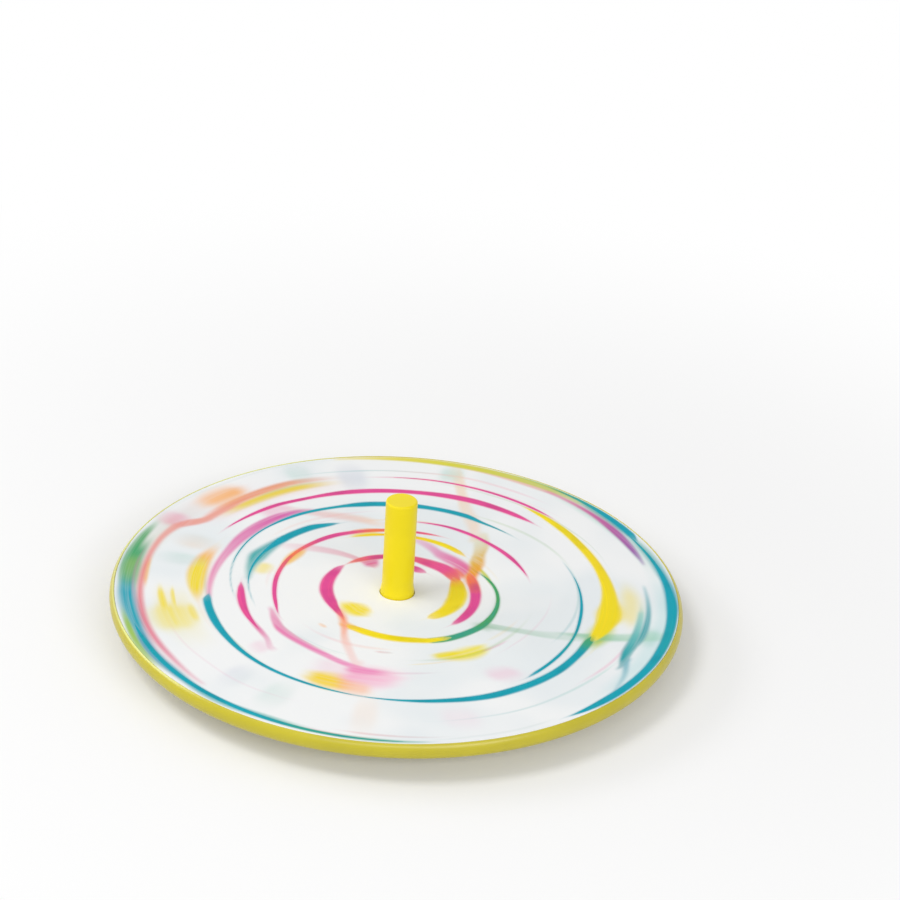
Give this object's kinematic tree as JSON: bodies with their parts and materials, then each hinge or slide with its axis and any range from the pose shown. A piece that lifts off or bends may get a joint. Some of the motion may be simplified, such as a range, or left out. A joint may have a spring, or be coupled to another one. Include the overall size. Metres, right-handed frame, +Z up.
{
  "type": "spin art machine",
  "caption": "Hand-twirled spin art top: a round yellow platter with a low lip carries a removable white card around a finger peg and turns on a captive ball tip.",
  "frame": {"origin": "lowest point of the ball tip, on the spin axis, where the top stands on a table", "axes": "+Z up along the spin axis, out of the finger peg; X and Y in the plane of the table"},
  "size_m": [0.14, 0.14, 0.0358],
  "materials": {
    "platter_plastic": "satin",
    "peg_plastic": "satin",
    "tip_steel": "polished",
    "card": "satin",
    "paint_teal": "satin",
    "paint_magenta": "satin",
    "paint_yellow": "satin"
  },
  "bodies": {
    "tip": {"tip_ball": "tip_steel"},
    "top": {"platter": "platter_plastic", "finger_peg": "peg_plastic", "nose_cap": "peg_plastic"},
    "card": {"art_card": "card"}
  },
  "joints": [
    {"name": "spin", "type": "hinge", "parent": "tip", "child": "top", "pos_m": [0, 0, 0.00225], "axis": [0, 0, 1], "continuous": true},
    {"name": "card_lift", "type": "slide", "parent": "top", "child": "card", "axis": [0, 0, 1], "range_m": [0, 0.04]}
  ]
}
